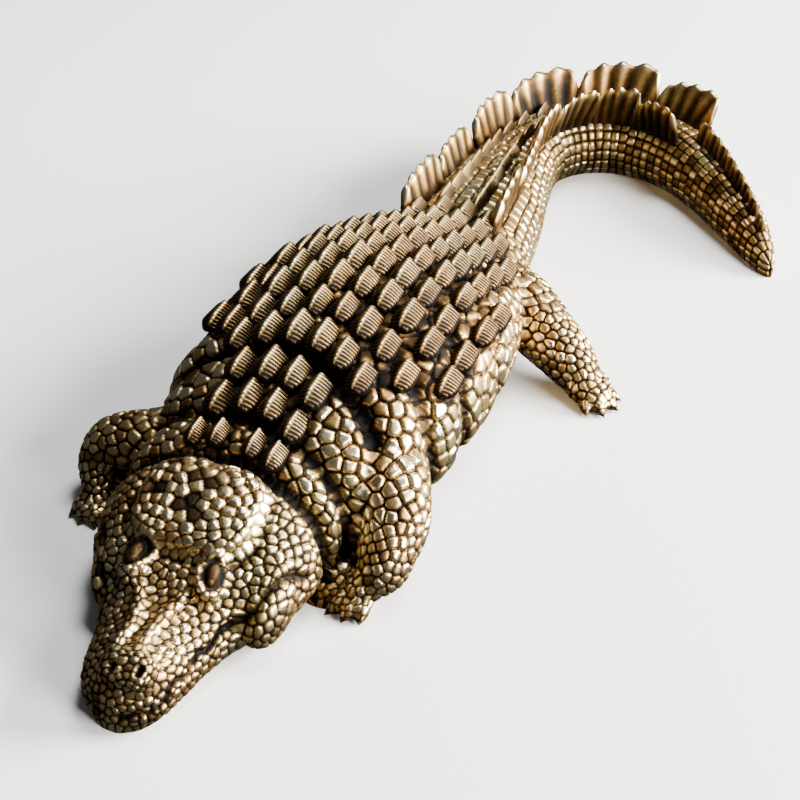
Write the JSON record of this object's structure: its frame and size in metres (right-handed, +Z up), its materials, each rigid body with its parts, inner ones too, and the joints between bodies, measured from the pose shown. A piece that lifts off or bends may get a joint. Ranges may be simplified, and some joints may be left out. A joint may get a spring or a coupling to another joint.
{
  "type": "crocodile figurine",
  "caption": "Solid cast brass crocodile lying on its belly with keeled back shields and a tall tail crest, used as a desk ornament or paperweight.",
  "frame": {"origin": "on the flat underside of the belly, under the middle of the trunk", "axes": "+Z up, the head points along -Y, the tail leaves along +Y and bends toward +X, which is the animal's left"},
  "size_m": [0.0523, 0.1109, 0.0183],
  "materials": {
    "antique_brass": "cast brass with dark brown patina in the carving and polished high spots"
  },
  "bodies": {
    "root": {"crocodile": "antique_brass"}
  },
  "joints": []
}
